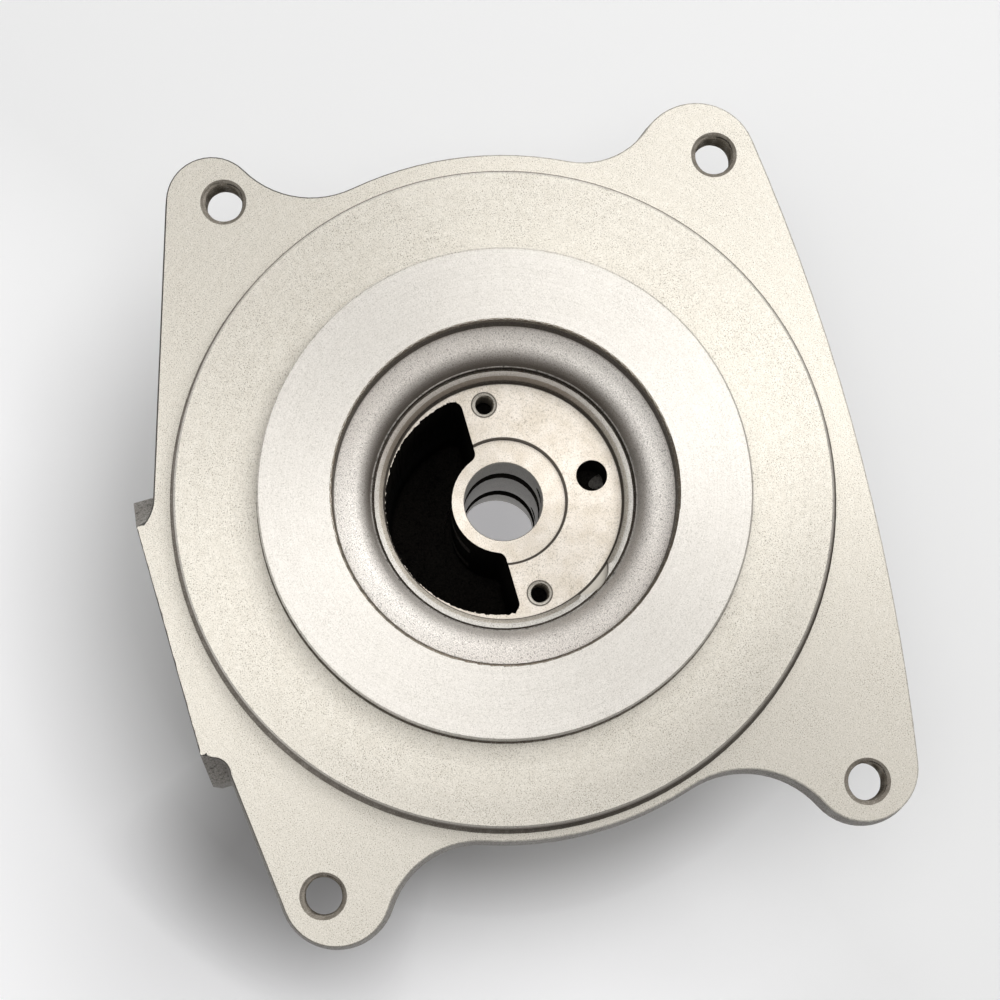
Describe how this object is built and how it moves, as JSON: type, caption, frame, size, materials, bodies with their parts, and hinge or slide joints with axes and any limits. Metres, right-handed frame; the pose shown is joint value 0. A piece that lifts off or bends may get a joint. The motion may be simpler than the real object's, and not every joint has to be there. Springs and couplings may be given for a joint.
{
  "type": "turbocharger bearing housing",
  "caption": "Cast-iron turbocharger bearing housing: a bored centre with thrust seat, compressor back flange with tapped lugs, side oil drain and turbine flange.",
  "frame": {"origin": "on the shaft axis, at the mouth of the bearing bore on the compressor side", "axes": "+Z along the shaft axis towards the compressor, -Y out of the oil drain, +Y out of the oil inlet"},
  "size_m": [0.1543, 0.1331, 0.087],
  "materials": {
    "iron": "machined on the seats and flanges, rough as cast elsewhere"
  },
  "bodies": {
    "root": {"bearing_housing": "iron"}
  },
  "joints": []
}
